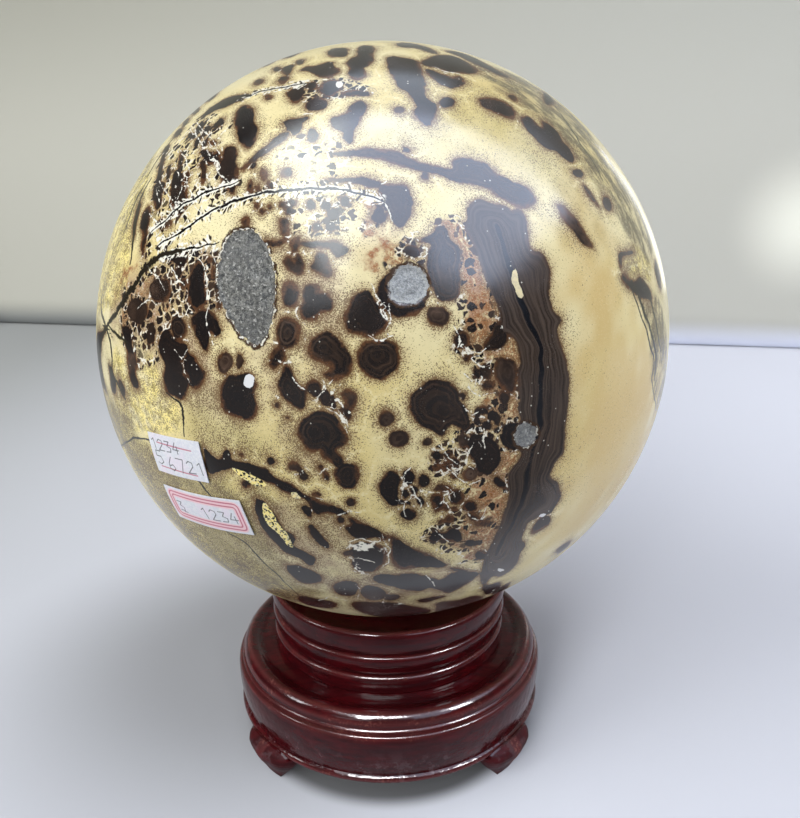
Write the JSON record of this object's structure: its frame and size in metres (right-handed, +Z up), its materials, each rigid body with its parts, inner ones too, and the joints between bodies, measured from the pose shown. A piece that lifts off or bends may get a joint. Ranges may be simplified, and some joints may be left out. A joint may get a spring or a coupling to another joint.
{
  "type": "picture jasper sphere",
  "caption": "Polished picture jasper sphere with druse patches and paper stickers, resting in the dished collar of a turned wooden stand on carved feet.",
  "frame": {"origin": "on the surface that the four feet stand on, straight below the centre of the sphere, which is the axis of the turned stand", "axes": "+Z up along the axis of the stand, through the centre of the sphere; -Y is the front, the side with the two stickers to the left; +X is to the right seen from the front"},
  "size_m": [0.189, 0.189, 0.243],
  "materials": {
    "jasper": "high polish, pale cream-yellow with near-black spots, bands and veins",
    "lacquered_wood": "glossy dark red lacquer, worn at the edges",
    "paper": "satin white sticker paper with red rules and black pen"
  },
  "bodies": {
    "root": {"stone_sphere": "jasper", "upper_label": "paper", "lower_label": "paper", "collar": "lacquered_wood", "base": "lacquered_wood", "foot_front_right": "lacquered_wood", "foot_back_right": "lacquered_wood", "foot_back_left": "lacquered_wood", "foot_front_left": "lacquered_wood"}
  },
  "joints": []
}
